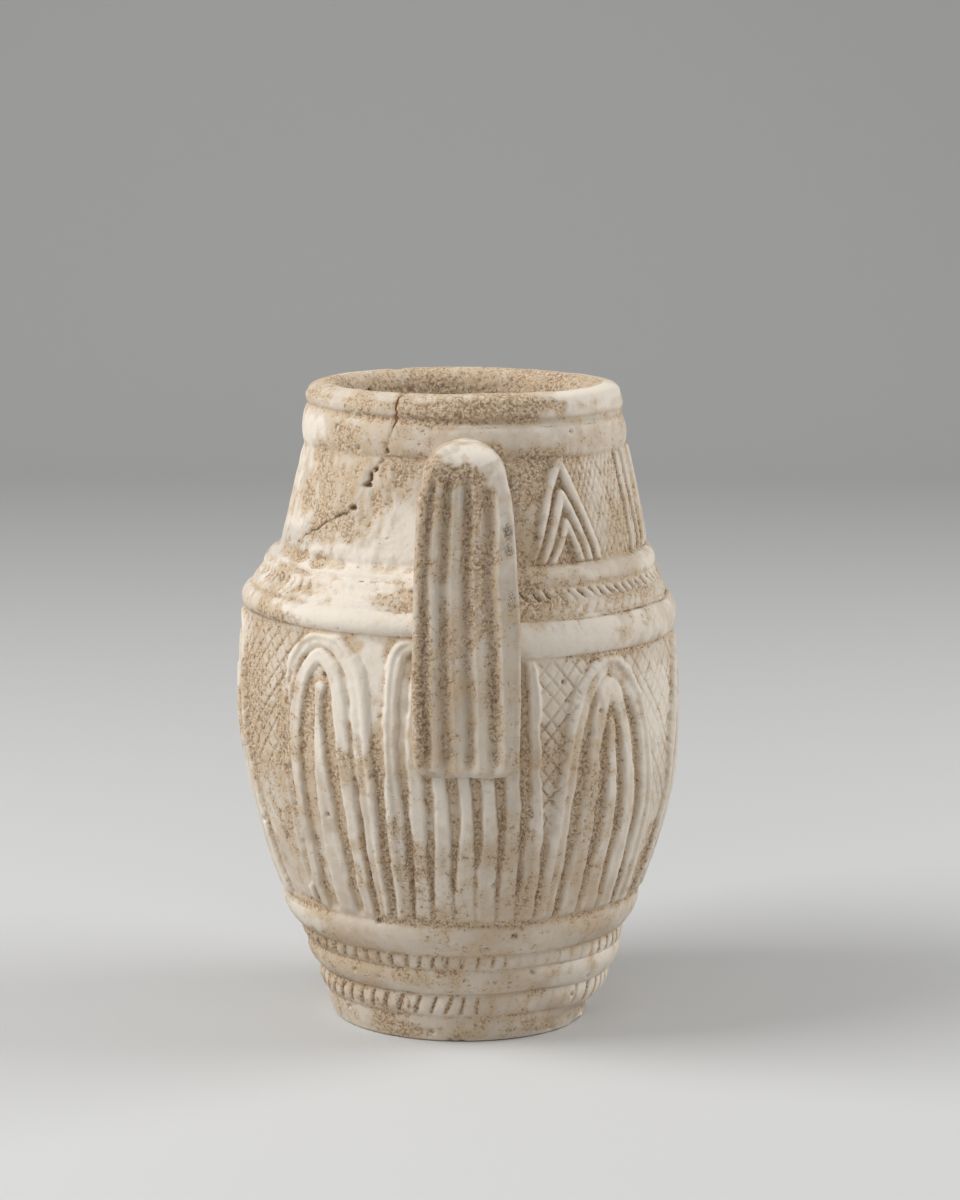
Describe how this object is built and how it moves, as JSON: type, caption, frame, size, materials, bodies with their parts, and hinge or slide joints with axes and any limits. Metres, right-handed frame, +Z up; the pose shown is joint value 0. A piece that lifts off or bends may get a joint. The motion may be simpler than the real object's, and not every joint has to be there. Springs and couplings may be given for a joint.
{
  "type": "limestone amphora",
  "caption": "Barrel-bodied carved limestone amphora with a tapering neck, moulded rings, fluted strap handles pierced for a finger, and a neck mended from sherds.",
  "frame": {"origin": "centre of the foot's flat underside", "axes": "+Z up along the vessel's axis, -Y towards the front handle, +X to the right of it"},
  "size_m": [0.1512, 0.1604, 0.22],
  "materials": {
    "limestone": "matte carved limestone with tan patina",
    "worn_limestone": "smoothed pale limestone",
    "old_glue": "brown aged adhesive"
  },
  "bodies": {
    "root": {"vessel_body": "limestone", "neck_sherd_left": "limestone", "neck_sherd_back": "limestone", "handle_front": "worn_limestone", "handle_back": "worn_limestone", "glue_left": "old_glue", "glue_back": "old_glue", "glue_between": "old_glue"}
  },
  "joints": []
}
